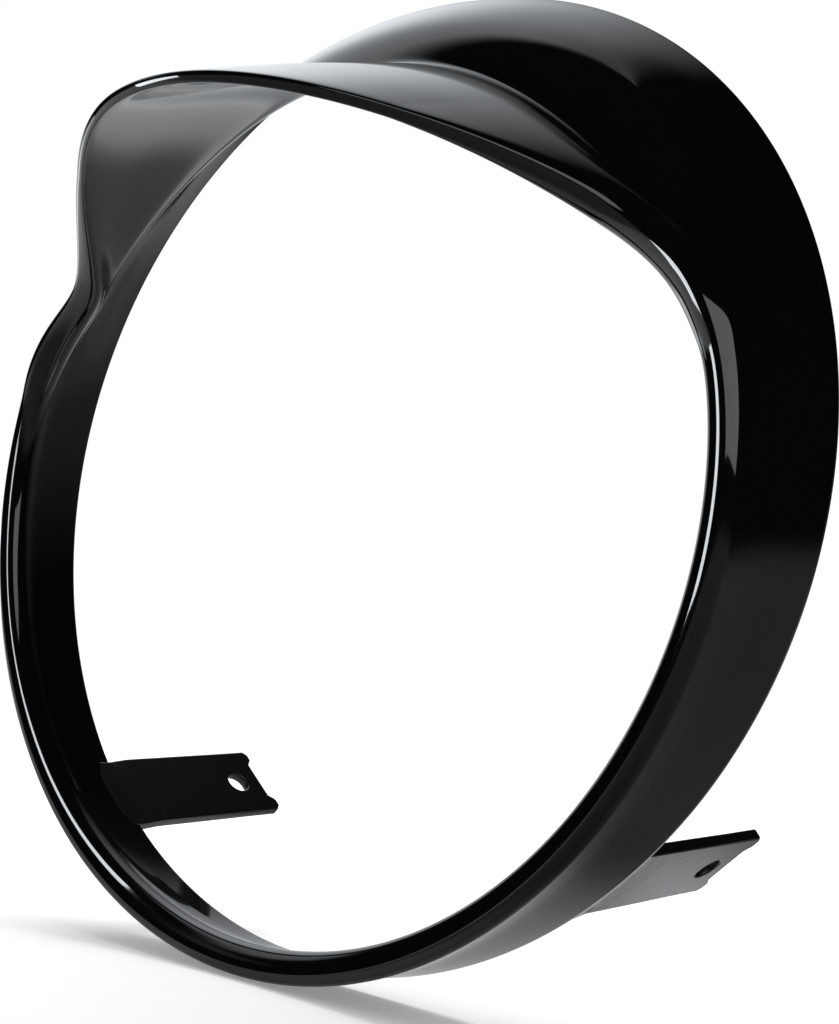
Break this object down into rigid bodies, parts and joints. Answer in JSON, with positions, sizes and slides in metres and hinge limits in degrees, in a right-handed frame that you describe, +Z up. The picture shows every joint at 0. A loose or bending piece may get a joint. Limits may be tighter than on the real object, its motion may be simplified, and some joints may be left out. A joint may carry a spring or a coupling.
{
  "type": "headlight visor",
  "caption": "Gloss black headlight visor: a moulded trim ring with a drooping peak in front and screw tabs behind.",
  "frame": {"origin": "on the ring's axis, in the plane of its rear edge", "axes": "+X to the right seen from the front, +Y to the rear along the ring's axis, +Z up towards the peak"},
  "size_m": [0.2, 0.116, 0.2012],
  "materials": {
    "gloss_black": "gloss"
  },
  "bodies": {
    "root": {"visor_ring": "gloss_black"}
  },
  "joints": []
}
